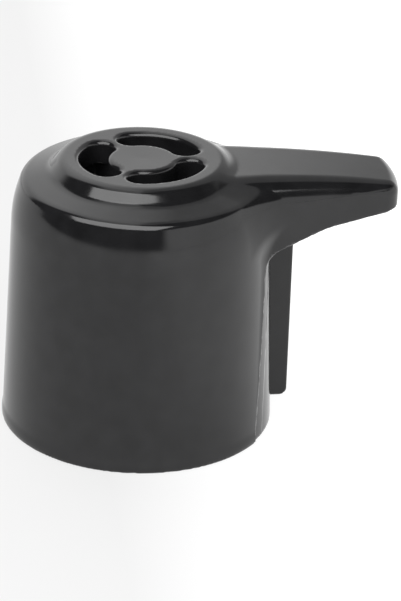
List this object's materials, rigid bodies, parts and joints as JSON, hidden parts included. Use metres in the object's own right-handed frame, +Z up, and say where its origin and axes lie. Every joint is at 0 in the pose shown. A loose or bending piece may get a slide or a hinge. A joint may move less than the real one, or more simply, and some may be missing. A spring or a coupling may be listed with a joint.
{
  "type": "steam release valve",
  "caption": "Pressure-cooker steam release valve: a domed cap with a side lever and kidney-shaped steam slots over a sliding steel weight with a needle and a wire clip.",
  "frame": {"origin": "centre of the cap's mouth, on the cap's axis in the plane of its rim", "axes": "+Z up along the cap's axis, +X along the lever, +Y to the lever's side that carries the stop tab"},
  "size_m": [0.0472, 0.0332, 0.0335],
  "materials": {
    "cap_plastic": "glossy black moulded phenolic",
    "plate_plastic": "satin black moulded nylon",
    "screw_steel": "zinc-plated steel",
    "clip_wire": "drawn stainless spring wire",
    "weight_steel": "turned stainless steel",
    "needle_steel": "fine-turned stainless steel"
  },
  "bodies": {
    "cap": {"cap_housing": "cap_plastic", "retainer_plate": "plate_plastic", "plate_screws": "screw_steel"},
    "weight": {"weight_body": "weight_steel", "valve_needle": "needle_steel"},
    "clip_left": {"clip_leg_left": "clip_wire"},
    "clip_right": {"clip_leg_right": "clip_wire"}
  },
  "joints": [
    {"name": "weight_lift", "type": "slide", "parent": "cap", "child": "weight", "axis": [0, 0, 1], "range_m": [0, 0.0022]},
    {"name": "clip_left_spread", "type": "hinge", "parent": "cap", "child": "clip_left", "pos_m": [-0.0123, 0, 0.0078], "axis": [0, 0, 1], "range_deg": [0, 7], "stiffness_Nm_per_rad": 0.05},
    {"name": "clip_right_spread", "type": "hinge", "parent": "cap", "child": "clip_right", "pos_m": [-0.0123, 0, 0.0078], "axis": [0, 0, -1], "range_deg": [0, 7], "stiffness_Nm_per_rad": 0.05}
  ],
  "couplings": [
    {"joint": "clip_right_spread", "follows": "clip_left_spread", "ratio": 1}
  ]
}
